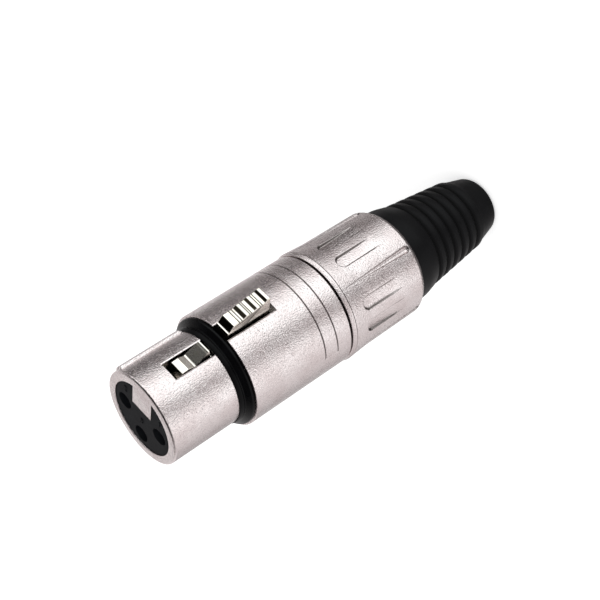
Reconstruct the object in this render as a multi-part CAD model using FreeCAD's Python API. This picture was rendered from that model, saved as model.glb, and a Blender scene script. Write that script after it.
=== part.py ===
import FreeCAD, Part
import math
import os

# Three-pole female cable connector: die-cast shell, spring latch, socket insert, collet, screw bushing and
# rubber boot. It stands on the boot's end with the mating face up. +Z runs along the axis towards the mating
# face, and the latch is on the -Y side. All sizes are in millimetres. Depths count down from the mating face.

# Lengths along the axis, from the mating face to the cable end
front_barrel_length = 11.75
ring_length = 2.1
barrel_length = 18.9
seam_gap = 0.25
bushing_length = 16.5
boot_length = 21.5

# The depths at which they end
ring_front = front_barrel_length
barrel_front = ring_front + ring_length
barrel_rear = barrel_front + barrel_length
bushing_front = barrel_rear + seam_gap
bushing_rear = bushing_front + bushing_length
total_length = bushing_rear + boot_length

# Running gaps
side_gap = 0.3
pivot_gap = 0.05
running_gap = 0.05
key_gap = 0.05
cone_gap = 0.2
snug = 0.02
clear_of = 1.0

# Radii of the shell, from the mouth outwards
mouth_r = 6.2
front_wall = 1.55
front_r = mouth_r + front_wall
insert_shoulder = 1.1
shell_bore_r = mouth_r + insert_shoulder
ring_seat_sink = 0.3
ring_seat_r = front_r - ring_seat_sink
thread_wall = 0.9
thread_r = shell_bore_r + thread_wall
thread_height = 0.3
thread_relief_r = thread_r - thread_height
barrel_step = 1.15
barrel_r = thread_r + barrel_step

# Stations inside the bushing, which set how far the shell's thread and the collet reach
neck_length = 3.9
cavity_length = 1.35
cone_length = 4.05
cavity_end = bushing_rear - neck_length
cone_end_depth = cavity_end - cavity_length
cone_mouth_depth = cone_end_depth - cone_length
thread_end_gap = 0.7
thread_relief_length = 0.85
thread_relief_end = barrel_rear + thread_relief_length
shell_rear = cone_mouth_depth - thread_end_gap

# Small forms of the shell
step_wall = 1.15
insert_step = barrel_front + step_wall
rim_round = 0.55
barrel_edge_round = 0.35
line_width = 0.25
line_depth = 0.15
line_setbacks = (5.45, 2.95)
line_half_angle = 79.0
latch_angle = -90.0

# Locating key inside the mouth, and the rail on the front barrel
key_width = 4.16
key_reach = 2.1
key_length = 2.4
rail_width = 2.0
rail_height = 0.38
rail_start = 0.4
rail_lead = 0.9
rail_angle = -41.0
rail_edge_round = 0.3

# Collar ring: its lips and groove stand lower than the barrel
ring_lip_drop = 1.23
ring_groove_drop = 1.35
ring_shoulder_drop = 0.45
ring_bead_drop = 0.3
ring_foot_rise = 0.1
ring_lip_length = 0.6
ring_groove_length = 1.0
ring_bead_length = 0.48
ring_round = 0.2

# Latch lever: heights are distances from the axis towards the latch side
latch_width = 2.6
pivot_depth = 3.5
pivot_sink = 1.2
pivot_height = mouth_r - pivot_sink
nose_r = 0.8
trunnion_r = 0.5
trunnion_length = 0.75
arm_sink = 0.45
arm_thickness = 1.5
arm_top = ring_seat_r - arm_sink
arm_bottom = arm_top - arm_thickness
arm_round = 1.0

# Slot through the shell wall, and the bar and tooth that show in its front half
slot_width = latch_width + 2 * side_gap + running_gap
slot_lead = 1.1
slot_front = pivot_depth + slot_lead
bar_gap = 1.45
bar_front = slot_front + bar_gap
bar_length = 2.45
bar_rear = bar_front + bar_length
bar_sink = 0.5
bar_top = front_r - bar_sink
bar_fall = 0.15
bar_round = 0.45
crank_top_drop = 0.5
crank_bottom_drop = 1.7
crank_lead = 1.05
crank_length = 0.8
crank_round = 0.3
underside_lead = 2.1
tooth_setback = 1.0
tooth_peak = ring_front - tooth_setback
tooth_height = 0.85
tooth_top = front_r + tooth_height
tooth_top_width = 1.8
tooth_flat = 0.3
tooth_back_slope = 0.1
tooth_foot_sink = 0.35
tooth_foot_height = front_r - tooth_foot_sink
tooth_length = 0.6
tooth_end = tooth_peak + tooth_length

# Ribbed thumb button behind the ring, and the heel that stops it under the shell
button_gap = 0.4
button_front = barrel_front + button_gap
button_length = 7.75
button_rear = button_front + button_length
button_front_rise = 0.65
button_rear_rise = 3.05
crest_count = 4
crest_width = 0.55
crest_pitch = (button_length - crest_width / 2) / crest_count
crest_relief = 0.5
crest_round = 0.12
valley_round = 0.3
heel_length = 2.6
heel_drop = 0.4
heel_top = shell_bore_r - heel_drop
heel_round = 0.3
slot_tail = 1.2
slot_rear = button_rear + slot_tail

# Latch spring
spring_setback = 3.0
spring_depth = button_rear - spring_setback
spring_coil_r = 0.95
spring_wire_r = 0.15
spring_turns = 5
spring_pocket_r = 1.25
spring_pocket_floor = 0.6

# Socket insert, front and rear blocks
insert_recess = 0.35
insert_gap = 0.05
heel_gap = 0.7
insert_joint = button_rear + heel_length + heel_gap
insert_rear_length = 4.0
insert_rear_end = insert_joint + insert_rear_length
socket_wall = 2.25
socket_circle_r = mouth_r - socket_wall
socket_mouth_r = 1.4
socket_lip = 1.1
insert_edge = 0.3

# Rubber boot: radii fall from the bushing's rear edge to the cable hole
edge_drop = 0.49
bushing_edge_r = barrel_r - edge_drop
boot_lip = 0.51
boot_start_r = bushing_edge_r - boot_lip
boot_seat_depth = 1.3
boot_flange_round = 0.3
boot_collar_length = 2.3
boot_collar_drop = 0.2
boot_collar_sweep = 6.0
collar_end_length = 4.3
collar_end_drop = 0.7
collar_end_round = 0.5
first_crest_length = 5.95
first_crest_drop = 0.9
last_crest_drop = 2.03
rib_count = 6
rib_relief = 0.42
rib_groove_round = 0.4
rib_crest_half = 0.3
rib_crest_round = 0.3
last_crest_length = 5.4
rib_pitch = (boot_length - first_crest_length - last_crest_length) / (rib_count - 1)
cap_shoulder_length = 4.3
cap_shoulder_drop = 2.95
cap_shoulder_round = 0.8
cap_end_drop = 3.6
cap_round = 1.4
cap_wall = 1.75
cable_hole_r = boot_start_r - cap_end_drop - cap_wall
cable_hole_length = 8.0
boot_inner_step = 1.6
boot_inner_r = cable_hole_r + boot_inner_step

# Collet that clamps the cable
collet_gap = 0.1
collet_r = shell_bore_r - collet_gap
collet_wall = 0.9
collet_skirt_bore_r = collet_r - collet_wall
grip_height = 0.35
collet_bore_r = cable_hole_r + grip_height + running_gap
collet_cone_start = cone_mouth_depth + cone_gap / 2
collet_end = cone_end_depth - 3 * running_gap
collet_cone_drop = 1.75
collet_end_r = collet_r - collet_cone_drop
collet_jaw_length = 7.1
collet_bore_start = collet_end - collet_jaw_length
collet_web_length = 2.0
collet_skirt_end = collet_bore_start - collet_web_length
collet_slot_count = 4
collet_slot_width = 1.0
collet_slot_lead = 0.4
collet_slot_start = collet_bore_start + collet_slot_lead
grip_count = 3
grip_pitch = 1.6
collet_key_width = 1.5
collet_key_height = 0.55
collet_key_setback = 3.9
collet_key_front = shell_rear - collet_key_setback
collet_key_length = 3.0

# Contacts
contact_r = 1.6
contact_bore_r = 1.2
contact_bore_length = 11.0
contact_bore_point = 0.7
contact_collar_r = 1.95
contact_collar_length = 1.1
contact_shank_r = 1.5
cup_bore_r = 1.05
cup_gap = 0.7
cup_end = collet_skirt_end - cup_gap
cup_cut_start = 1.2
slit_width = 0.35
slit_length = 7.0

# Earth strip on the insert
strip_thickness = 0.25
strip_lead = 1.5
strip_front = insert_step + strip_lead
strip_angle = 45.0
strip_span_angle = 20.0
strip_depth = 0.55
strip_end_length = 1.5
strip_crest_length = 2.0
strip_bend_r = 0.3
strip_end_gap = 0.2
strip_side_angle = 1.0

# Screw bushing
rim_rise = 0.22
bushing_rim_r = barrel_r + rim_rise
bushing_rim_depth = 0.85
waist_drop = 0.02
bushing_waist_r = barrel_r - waist_drop
bushing_waist_depth = 4.5
tail_drop = 0.11
bushing_tail_r = barrel_r - tail_drop
bushing_tail_length = 0.6
bushing_edge_round = 0.45
bushing_fine_round = 0.12
cavity_r = collet_r + cone_gap
neck_step = 0.8
neck_bore_r = cavity_r - neck_step

# Grip pattern on the bushing
grip_groups = 5
group_angle = -117.0
pocket_offset_angle = 23.6
pocket_width = 2.05
pocket_lead = 3.2
pocket_front = bushing_front + pocket_lead
pocket_length = 9.0
pocket_sink = 0.42
pocket_rise = 0.52
flute_lead = 0.9
flute_front = bushing_front + flute_lead
flute_tail = 1.15
flute_rear = bushing_rear - flute_tail
flute_rear_r = 0.62
flute_point_r = 0.02
flute_sink = 0.12
cutter_height = 3.0

origin = FreeCAD.Vector(0, 0, 0)
up = FreeCAD.Vector(0, 0, 1)
across = FreeCAD.Vector(1, 0, 0)


def level(depth):
    # Height above the ground of a point at this depth behind the mating face
    return total_length - depth


def unit(du, dv):
    length = math.hypot(du, dv)
    return du / length, dv / length


def rounded_face(corners, place):
    # Closed flat outline. A corner is (u, v) or (u, v, radius), and place puts it in space
    count = len(corners)
    spans = []
    for index, corner in enumerate(corners):
        u, v = corner[0], corner[1]
        radius = corner[2] if len(corner) > 2 else 0
        if radius == 0:
            spans.append(((u, v), None, (u, v)))
            continue
        before = corners[index - 1]
        after = corners[(index + 1) % count]
        bu, bv = unit(before[0] - u, before[1] - v)
        au, av = unit(after[0] - u, after[1] - v)
        half = math.acos(max(-1.0, min(1.0, bu * au + bv * av))) / 2
        reach = radius / math.tan(half)
        mu, mv = unit(bu + au, bv + av)
        middle = radius / math.sin(half) - radius
        start = (u + bu * reach, v + bv * reach)
        end = (u + au * reach, v + av * reach)
        spans.append((start, (u + mu * middle, v + mv * middle), end))
    edges = []
    for index, (start, middle, end) in enumerate(spans):
        if middle is not None:
            edges.append(Part.Arc(place(*start), place(*middle), place(*end)).toShape())
        following = spans[(index + 1) % count][0]
        if place(*end).distanceToPoint(place(*following)) > 1e-6:
            edges.append(Part.LineSegment(place(*end), place(*following)).toShape())
    return Part.Face(Part.Wire(edges))


def turned(corners, span=360, start=0):
    # Solid of revolution about the axis from (depth, radius) corners
    face = rounded_face(corners, lambda depth, radius: FreeCAD.Vector(radius, 0, level(depth)))
    face.rotate(origin, up, start)
    return face.revolve(origin, up, span)


def plate(corners, width):
    # Plate of the given width across X, centred, from (depth, height) corners on the latch side
    face = rounded_face(corners, lambda depth, height: FreeCAD.Vector(-width / 2, -height, level(depth)))
    return face.extrude(across * width)


def block(width, low_height, high_height, front, rear):
    # Box across the latch side: width in X, heights towards the latch, depths along the axis
    corner = FreeCAD.Vector(-width / 2, -high_height, level(rear))
    return Part.makeBox(width, high_height - low_height, rear - front, corner)


def rod(radius, front, rear, x=0, y=0):
    # Round bar along the axis between two depths
    return Part.makeCylinder(radius, rear - front, FreeCAD.Vector(x, y, level(rear)), up)


def turned_about(shape, angle):
    copy = shape.copy()
    copy.rotate(origin, up, angle)
    return copy


def single(shape):
    # The one solid that a boolean result holds
    clean = shape.removeSplitter()
    if len(clean.Solids) != 1:
        raise ValueError("expected one solid, found %d" % len(clean.Solids))
    return clean.Solids[0]


# Contact places: seen from the mating face with the latch on top, one is on the right, two is on the left
# and three is below
contact_places = {
    "contact_1": (-socket_circle_r, 0.0),
    "contact_2": (socket_circle_r, 0.0),
    "contact_3": (0.0, socket_circle_r),
}


def make_housing():
    corners = [(0, mouth_r), (0, front_r, rim_round), (ring_front, front_r), (ring_front, ring_seat_r)]
    corners += [(barrel_front, ring_seat_r), (barrel_front, barrel_r, barrel_edge_round)]
    corners += [(barrel_rear, barrel_r, barrel_edge_round), (barrel_rear, thread_relief_r)]
    corners += [(thread_relief_end, thread_relief_r), (thread_relief_end, thread_r)]
    corners += [(shell_rear, thread_r, line_width), (shell_rear, shell_bore_r)]
    corners += [(insert_step, shell_bore_r), (insert_step, mouth_r)]
    shell = turned(corners)
    key = block(key_width, key_reach, (mouth_r + front_r) / 2, 0, key_length)
    shell = shell.fuse([key, make_rail()])
    slot = block(slot_width, pivot_height, barrel_r + clear_of, slot_front, slot_rear)
    key_slots = collet_keys(collet_key_width + 2 * key_gap, collet_key_height + key_gap,
                            collet_key_front - key_gap, shell_rear)
    shell = shell.cut([slot] + key_slots + fine_lines())
    return single(shell)


def fine_lines():
    # Two shallow lines round the latch side of the barrel, joined by a lengthwise line at each end
    low = barrel_r - line_depth
    high = barrel_r + clear_of
    front, rear = [barrel_rear - setback for setback in line_setbacks]
    cuts = []
    for depth in (front, rear):
        corners = [(depth, low), (depth + line_width, low), (depth + line_width, high), (depth, high)]
        cuts.append(turned(corners, 2 * line_half_angle, latch_angle - line_half_angle))
    for side in (-1, 1):
        corner = FreeCAD.Vector(low, -line_width / 2, level(rear))
        line = Part.makeBox(high - low, line_width, rear - front, corner)
        cuts.append(turned_about(line, latch_angle + side * line_half_angle))
    return cuts


def make_rail():
    # Low guide rail along the front barrel that rises out of it behind the rim
    half = math.degrees(rail_width / 2 / front_r)
    top = front_r + rail_height
    corners = [(rail_start, mouth_r + rim_round), (rail_start, front_r - rail_height)]
    corners += [(rail_start + rail_lead, top, rail_edge_round)]
    corners += [(ring_front, top), (ring_front, mouth_r + rim_round)]
    return turned(corners, 2 * half, rail_angle - half)


def collet_keys(width, height, front, rear):
    # Two keys on opposite sides of the collet, also made wider and longer as the slots that take them
    keys = []
    low = collet_r - collet_key_height
    for angle in (0, 180):
        key = Part.makeBox(collet_r + height - low, width, rear - front,
                           FreeCAD.Vector(low, -width / 2, level(rear)))
        keys.append(turned_about(key, angle))
    return keys


def make_collar_ring():
    inner = ring_seat_r + snug
    front = ring_front + snug
    rear = barrel_front - snug
    corners = [(front, inner), (front, front_r + ring_foot_rise)]
    corners += [(front + ring_lip_length, barrel_r - ring_lip_drop, ring_round)]
    corners += [(front + ring_groove_length, barrel_r - ring_groove_drop, ring_round)]
    corners += [(rear - ring_bead_length, barrel_r - ring_shoulder_drop, ring_round)]
    corners += [(rear, barrel_r - ring_bead_drop, ring_round), (rear, inner)]
    return single(turned(corners))


def button_height(depth):
    # Height of the button's ridge line, which rises towards the cable end
    share = (depth - button_front) / (button_rear - button_front)
    return barrel_r + button_front_rise + share * (button_rear_rise - button_front_rise)


def button_corners():
    # Ribbed thumb face: flat crests with rounded valleys between them
    corners = [(button_front, button_height(button_front), crest_round)]
    half = crest_width / 2
    first = button_rear - half - (crest_count - 1) * crest_pitch
    for index in range(crest_count):
        crest = first + index * crest_pitch
        valley = crest - crest_pitch / 2
        corners.append((valley, button_height(valley) - crest_relief, valley_round))
        corners.append((crest - half, button_height(crest - half), crest_round))
        corners.append((crest + half, button_height(crest + half), crest_round))
    return corners


def make_latch():
    heel_end = button_rear + heel_length
    crank_front = pivot_depth + crank_lead
    crank_top = pivot_height - crank_top_drop
    crank_bottom = pivot_height - crank_bottom_drop
    tooth_rear = tooth_peak + tooth_flat
    corners = [(pivot_depth, pivot_height + nose_r), (crank_front, crank_top, crank_round)]
    corners += [(bar_front, crank_top, crank_round)]
    corners += [(bar_front, bar_top, bar_round), (bar_rear, bar_top - bar_fall)]
    corners += [(tooth_peak, tooth_top, crest_round), (tooth_rear, tooth_top, crest_round)]
    corners += [(tooth_rear + tooth_back_slope, arm_top), (button_front, arm_top)]
    corners += button_corners()
    corners += [(button_rear, heel_top), (heel_end, heel_top, heel_round)]
    corners += [(heel_end, arm_bottom, heel_round)]
    corners += [(bar_front + underside_lead, arm_bottom, arm_round)]
    corners += [(bar_front + crank_length, crank_bottom, crank_round)]
    corners += [(pivot_depth, crank_bottom, crank_round), (pivot_depth, pivot_height - nose_r / 2)]
    lever = plate(corners, latch_width)
    axle_start = FreeCAD.Vector(0, -pivot_height, level(pivot_depth))
    nose = Part.makeCylinder(nose_r, latch_width, axle_start - across * (latch_width / 2), across)
    axle_length = latch_width + 2 * trunnion_length
    trunnions = Part.makeCylinder(trunnion_r, axle_length, axle_start - across * (axle_length / 2), across)
    lever = lever.fuse([nose, trunnions])
    lever = lever.cut(tooth_chamfers())
    return single(lever)


def tooth_chamfers():
    # Sloping cheeks that narrow the tooth above the barrel's surface
    cuts = []
    for side in (-1, 1):
        outer = side * latch_width
        inner = side * tooth_top_width / 2
        points = [(side * latch_width / 2, tooth_foot_height), (inner, tooth_top), (inner, barrel_r)]
        points += [(outer, barrel_r), (outer, tooth_foot_height)]
        place = [FreeCAD.Vector(x, -height, level(tooth_end)) for x, height in points]
        face = Part.Face(Part.makePolygon(place + place[:1]))
        cuts.append(face.extrude(up * (tooth_end - bar_rear)))
    return cuts


def make_latch_spring():
    # Open coil spring between the insert's pocket and the underside of the lever
    low = spring_pocket_floor + spring_wire_r + snug
    high = arm_bottom - spring_wire_r - snug
    coil = Part.makeHelix((high - low) / spring_turns, high - low, spring_coil_r)
    start = FreeCAD.Vector(spring_coil_r, 0, 0)
    section = Part.Wire(Part.makeCircle(spring_wire_r, start, FreeCAD.Vector(0, 1, 0)))
    body = Part.Wire(coil.Edges).makePipeShell([section], True, True)
    body.rotate(origin, across, 90)
    body.translate(FreeCAD.Vector(0, -low, level(spring_depth)))
    return single(body)


def make_insert_front():
    shoulder = insert_step + snug
    corners = [(insert_recess, 0), (insert_recess, mouth_r - insert_gap, insert_edge / 2)]
    corners += [(shoulder, mouth_r - insert_gap), (shoulder, shell_bore_r - insert_gap)]
    corners += [(insert_joint, shell_bore_r - insert_gap), (insert_joint, 0)]
    body = turned(corners)
    cuts = []
    collar_front = insert_joint - contact_collar_length
    for x, y in contact_places.values():
        cuts.append(rod(socket_mouth_r, 0, insert_recess + socket_lip, x, y))
        cuts.append(rod(contact_r + insert_gap, insert_recess + socket_lip, insert_joint, x, y))
        cuts.append(rod(contact_collar_r + insert_gap, collar_front, insert_joint, x, y))
    high = shell_bore_r + clear_of
    channel = latch_width + 2 * side_gap
    cuts.append(block(key_width + 2 * key_gap, key_reach - key_gap, high, 0, key_length + key_gap))
    cuts.append(block(channel, key_reach, high, key_length, insert_joint))
    axle = trunnion_r + pivot_gap
    reach = latch_width + 2 * trunnion_length + 2 * key_gap
    cuts.append(block(reach, pivot_height, high, pivot_depth - axle, pivot_depth + axle))
    seat = FreeCAD.Vector(-reach / 2, -pivot_height, level(pivot_depth))
    cuts.append(Part.makeCylinder(axle, reach, seat, across))
    pocket = FreeCAD.Vector(0, -spring_pocket_floor, level(spring_depth))
    cuts.append(Part.makeCylinder(spring_pocket_r, key_reach, pocket, FreeCAD.Vector(0, -1, 0)))
    cuts.append(strip_seat())
    return single(body.cut(cuts))


def make_insert_rear():
    front = insert_joint
    outer = shell_bore_r - insert_gap
    body = turned([(front, 0), (front, outer), (insert_rear_end, outer, insert_edge), (insert_rear_end, 0)])
    hole_r = contact_shank_r + insert_gap
    holes = [rod(hole_r, front, insert_rear_end, x, y) for x, y in contact_places.values()]
    return single(body.cut(holes))


def make_contact(name):
    # Slit socket at the front, trapped collar, and a solder cup that opens away from the axis
    x, y = contact_places[name]
    front = insert_recess + socket_lip + snug
    collar_front = insert_joint - contact_collar_length
    parts = [rod(contact_r, front, collar_front, x, y)]
    parts.append(rod(contact_collar_r, collar_front, insert_joint, x, y))
    parts.append(rod(contact_shank_r, insert_joint, cup_end, x, y))
    body = parts[0].fuse(parts[1:])
    bore_end = front + contact_bore_length
    point = FreeCAD.Vector(x, y, level(bore_end))
    cuts = [rod(contact_bore_r, front, bore_end, x, y)]
    cuts.append(Part.makeCone(contact_bore_r, 0, contact_bore_point, point, -up))
    slit = Part.makeBox(slit_width, 2.2 * contact_r, slit_length,
                        FreeCAD.Vector(x - slit_width / 2, y - 1.1 * contact_r, level(front + slit_length)))
    cuts.append(slit)
    cuts.append(rod(cup_bore_r, insert_rear_end + cup_cut_start / 2, cup_end, x, y))
    opening = Part.makeBox(2 * contact_r, 2 * contact_r, cup_end - insert_rear_end - cup_cut_start,
                           FreeCAD.Vector(socket_circle_r, -contact_r, level(cup_end)))
    cuts.append(turned_about(opening, math.degrees(math.atan2(y, x))))
    return single(body.cut(cuts))


def strip_path():
    # Bent strip along the insert that bows out to touch the shell
    floor = shell_bore_r - insert_gap - strip_depth
    peak = shell_bore_r - strip_thickness - 2 * snug
    rear = insert_joint
    middle = (strip_front + rear) / 2
    half = strip_crest_length / 2
    return [(strip_front, floor), (strip_front + strip_end_length, floor), (middle - half, peak),
            (middle + half, peak), (rear - strip_end_length, floor), (rear, floor)]


def make_ground_contact():
    path = strip_path()
    outer = [(depth, radius + strip_thickness, strip_bend_r) for depth, radius in path[::-1]]
    outer[0] = outer[0][:2]
    outer[-1] = outer[-1][:2]
    return single(turned(path + outer, strip_span_angle, strip_angle - strip_span_angle / 2))


def strip_seat():
    floor = shell_bore_r - insert_gap - strip_depth - snug
    high = shell_bore_r + clear_of
    front = strip_front - strip_end_gap
    corners = [(front, floor), (insert_joint, floor), (insert_joint, high), (front, high)]
    span = strip_span_angle + 2 * strip_side_angle
    return turned(corners, span, strip_angle - span / 2)


def make_collet():
    front = insert_rear_end
    corners = [(front, collet_skirt_bore_r), (front, collet_r, insert_edge)]
    corners += [(collet_cone_start, collet_r), (collet_end, collet_end_r), (collet_end, collet_bore_r)]
    for index in range(grip_count):
        crest = collet_end - grip_pitch * (index + 0.5)
        corners.append((crest, collet_bore_r - grip_height))
        corners.append((crest - grip_pitch / 2, collet_bore_r))
    corners += [(collet_bore_start, collet_bore_r), (collet_skirt_end, collet_skirt_bore_r)]
    keys = collet_keys(collet_key_width, collet_key_height, collet_key_front,
                       collet_key_front + collet_key_length)
    body = turned(corners).fuse(keys)
    slots = []
    for index in range(collet_slot_count):
        corner = FreeCAD.Vector(0, -collet_slot_width / 2, level(collet_end))
        slot = Part.makeBox(collet_r + clear_of, collet_slot_width, collet_end - collet_slot_start, corner)
        slots.append(turned_about(slot, 45 + index * 360 / collet_slot_count))
    return single(body.cut(slots))


def make_bushing():
    rear = bushing_rear
    rim = bushing_front + bushing_rim_depth
    cavity = cavity_end
    seat = rear - boot_seat_depth
    bore = thread_r + running_gap
    mouth = boot_start_r + 2 * running_gap
    corners = [(bushing_front, bore), (bushing_front, bushing_edge_r, bushing_fine_round)]
    corners += [(rim, bushing_rim_r, bushing_fine_round)]
    corners += [(bushing_front + bushing_waist_depth, bushing_waist_r)]
    corners += [(rear - bushing_tail_length, bushing_tail_r, bushing_edge_round)]
    corners += [(rear, bushing_edge_r, bushing_fine_round), (rear, mouth)]
    corners += [(seat, mouth), (seat, neck_bore_r), (cavity, neck_bore_r)]
    corners += [(cavity, cavity_r), (cone_end_depth, cavity_r), (cone_end_depth, collet_end_r + cone_gap)]
    corners += [(cone_mouth_depth, collet_r + cone_gap), (cone_mouth_depth, bore)]
    body = turned(corners)
    cuts = []
    for index in range(grip_groups):
        angle = group_angle + index * 360 / grip_groups
        cuts.append(turned_about(flute_cutter(), angle))
        for side in (-1, 1):
            cuts.append(turned_about(pocket_cutter(), angle + side * pocket_offset_angle))
    return single(body.cut(cuts))


def pocket_cutter():
    # Round-ended pocket on the +X side whose floor rises to the surface towards the cable end
    front = pocket_front
    half = pocket_width / 2
    length = pocket_length + 2 * half
    nose = Part.makeCylinder(half, cutter_height, origin, across)
    body = Part.makeBox(cutter_height, pocket_width, length, FreeCAD.Vector(0, -half, -length))
    cutter = nose.fuse(body).removeSplitter()
    tilt = math.degrees(math.atan2(pocket_rise, pocket_length))
    cutter.rotate(origin, FreeCAD.Vector(0, 1, 0), -tilt)
    cutter.translate(FreeCAD.Vector(bushing_waist_r - pocket_sink, 0, level(front + half)))
    return cutter


def flute_cutter():
    # Tapering flute on the +X side that ends round just before the rear edge
    length = flute_rear - flute_front
    centre_r = bushing_waist_r + flute_sink
    tail = FreeCAD.Vector(centre_r, 0, level(flute_rear - flute_rear_r))
    cone = Part.makeCone(flute_rear_r, flute_point_r, length - flute_rear_r, tail, up)
    return cone.fuse(Part.makeSphere(flute_rear_r, tail))


def make_boot():
    flange_front = cone_end_depth + 3 * running_gap
    cavity = cavity_end
    seat = bushing_rear - boot_seat_depth + running_gap
    neck = neck_bore_r - running_gap
    corners = [(flange_front, boot_inner_r), (flange_front, cavity_r - 2 * running_gap, boot_flange_round)]
    corners += [(cavity - running_gap, cavity_r - 2 * running_gap), (cavity - running_gap, neck)]
    corners += [(seat, neck), (seat, boot_start_r)]
    corners.append((bushing_rear + boot_collar_length, boot_start_r - boot_collar_drop, boot_collar_sweep))
    corners.append((bushing_rear + collar_end_length, boot_start_r - collar_end_drop, collar_end_round))
    drop = (last_crest_drop - first_crest_drop) / (rib_count - 1)
    for index in range(rib_count):
        crest = bushing_rear + first_crest_length + index * rib_pitch
        radius = boot_start_r - first_crest_drop - drop * index
        groove = crest - rib_pitch / 2
        corners.append((groove, radius - rib_relief + drop / 2, rib_groove_round))
        corners.append((crest - rib_crest_half, radius, rib_crest_round))
        corners.append((crest + rib_crest_half, radius - drop / 3, rib_crest_round))
    shoulder = total_length - cap_shoulder_length
    corners.append((shoulder, boot_start_r - cap_shoulder_drop, cap_shoulder_round))
    corners.append((total_length, boot_start_r - cap_end_drop, cap_round))
    corners += [(total_length, cable_hole_r), (total_length - cable_hole_length, cable_hole_r)]
    return single(turned(corners))


def make_part():
    nodes = {
        "housing": make_housing(),
        "collar_ring": make_collar_ring(),
        "latch": make_latch(),
        "latch_spring": make_latch_spring(),
        "insert_front": make_insert_front(),
        "insert_rear": make_insert_rear(),
        "ground_contact": make_ground_contact(),
        "collet": make_collet(),
        "bushing": make_bushing(),
        "boot": make_boot(),
    }
    for name in contact_places:
        nodes[name] = make_contact(name)
    return nodes


def write_part():
    os.makedirs("parts", exist_ok=True)
    for name, shape in make_part().items():
        if not shape.isValid() or not shape.isClosed():
            raise ValueError(name + " is not a closed valid solid")
        shape.exportStep("parts/" + name + ".step")
        print(name, "volume %.1f mm3" % shape.Volume, "faces", len(shape.Faces))


write_part()
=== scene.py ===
import math
import bmesh
import bpy
from mathutils import Matrix, Vector


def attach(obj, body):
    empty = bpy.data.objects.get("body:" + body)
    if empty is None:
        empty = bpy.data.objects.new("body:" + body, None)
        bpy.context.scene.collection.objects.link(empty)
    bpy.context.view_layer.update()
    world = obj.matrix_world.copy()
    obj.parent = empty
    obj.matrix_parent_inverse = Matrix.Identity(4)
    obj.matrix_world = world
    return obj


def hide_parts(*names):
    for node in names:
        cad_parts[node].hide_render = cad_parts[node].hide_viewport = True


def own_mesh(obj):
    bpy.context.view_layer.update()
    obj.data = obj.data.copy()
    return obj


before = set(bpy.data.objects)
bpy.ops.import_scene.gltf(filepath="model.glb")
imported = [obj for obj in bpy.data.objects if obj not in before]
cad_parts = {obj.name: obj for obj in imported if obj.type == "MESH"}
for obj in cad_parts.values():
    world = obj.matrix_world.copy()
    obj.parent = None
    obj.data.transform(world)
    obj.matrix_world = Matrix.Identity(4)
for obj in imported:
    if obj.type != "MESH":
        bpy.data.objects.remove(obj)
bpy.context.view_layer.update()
print("frame loaded,", len(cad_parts), "solids")

mm = 0.001  # shapes are worked in millimetres and brought to metres at the end
weld = 0.0005  # points that lie closer than this become one
plug = {
    "length": 71.0,  # from the floor under the boot up to the mating face
    "latchAngle": -90.0,  # degrees about the axis
    "mouth": 6.2, "front": 7.75, "barrel": 9.35, "bore": 7.3,
    "ringFront": 11.75, "barrelFront": 13.85, "barrelRear": 32.75,
    "bushingFront": 33.1, "bushingRear": 49.05,
}


def level(depth):
    return plug["length"] - depth  # height of a depth counted down from the mating face


def softOutline(corners, steps=5):
    # corners are (depth, radius) or (depth, radius, rounding)
    points = []
    count = len(corners)
    for i, corner in enumerate(corners):
        here = Vector(corner[:2])
        rounding = corner[2] if len(corner) > 2 else 0
        if not rounding:
            points.append(here)
            continue
        back = (Vector(corners[i - 1][:2]) - here).normalized()
        ahead = (Vector(corners[(i + 1) % count][:2]) - here).normalized()
        half = math.acos(max(-1.0, min(1.0, back.dot(ahead)))) / 2
        reach = rounding / math.tan(half)
        centre = here + (back + ahead).normalized() * (rounding / math.sin(half))
        first = here + back * reach - centre
        last = here + ahead * reach - centre
        sweep = math.atan2(first.x * last.y - first.y * last.x, first.dot(last))
        parts = max(2, round(abs(sweep) / (math.pi / 2) * steps))
        for k in range(parts + 1):
            points.append(centre + Matrix.Rotation(sweep * k / parts, 2) @ first)
    return points


def placed(name, data):
    thing = bpy.data.objects.new(name, data)
    bpy.context.scene.collection.objects.link(thing)
    return thing


def newPiece(name, points, faces):
    mesh = bpy.data.meshes.new(name)
    mesh.from_pydata([tuple(p) for p in points], [], faces)
    tidy = bmesh.new()
    tidy.from_mesh(mesh)
    bmesh.ops.remove_doubles(tidy, verts=tidy.verts, dist=weld)
    bmesh.ops.recalc_face_normals(tidy, faces=tidy.faces)
    tidy.to_mesh(mesh)
    tidy.free()
    return placed(name, mesh)


def tubeSides(wide, rows):
    # faces round a tube through rows that have the same number of points
    return [(a + j, a + (j + 1) % wide, a + wide + (j + 1) % wide, a + wide + j)
            for a in range(0, (rows - 1) * wide, wide) for j in range(wide)]


def tubeEnds(wide, rows):
    return [tuple(range(wide)), tuple(range((rows - 1) * wide, rows * wide))]


def turned(name, outline, angles, start=0.0, span=360.0, sink=None):
    # solid of revolution; angles is a count or a list of degrees, and sink lowers the outer skin
    whole = span >= 360
    if isinstance(angles, int):
        angles = [start + span * k / angles for k in range(angles + (0 if whole else 1))]
    rows, columns = len(outline), len(angles)
    points = []
    for angle in angles:
        c, s = math.cos(math.radians(angle)), math.sin(math.radians(angle))
        for depth, radius in outline:
            r = radius - (sink(angle, depth, radius) if sink else 0)
            points.append((r * c, r * s, level(depth)))
    if whole:
        last = (columns - 1) * rows
        close = [(last + j, last + (j + 1) % rows, (j + 1) % rows, j) for j in range(rows)]
    else:
        close = tubeEnds(rows, columns)
    return newPiece(name, points, tubeSides(rows, columns) + close)


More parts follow.
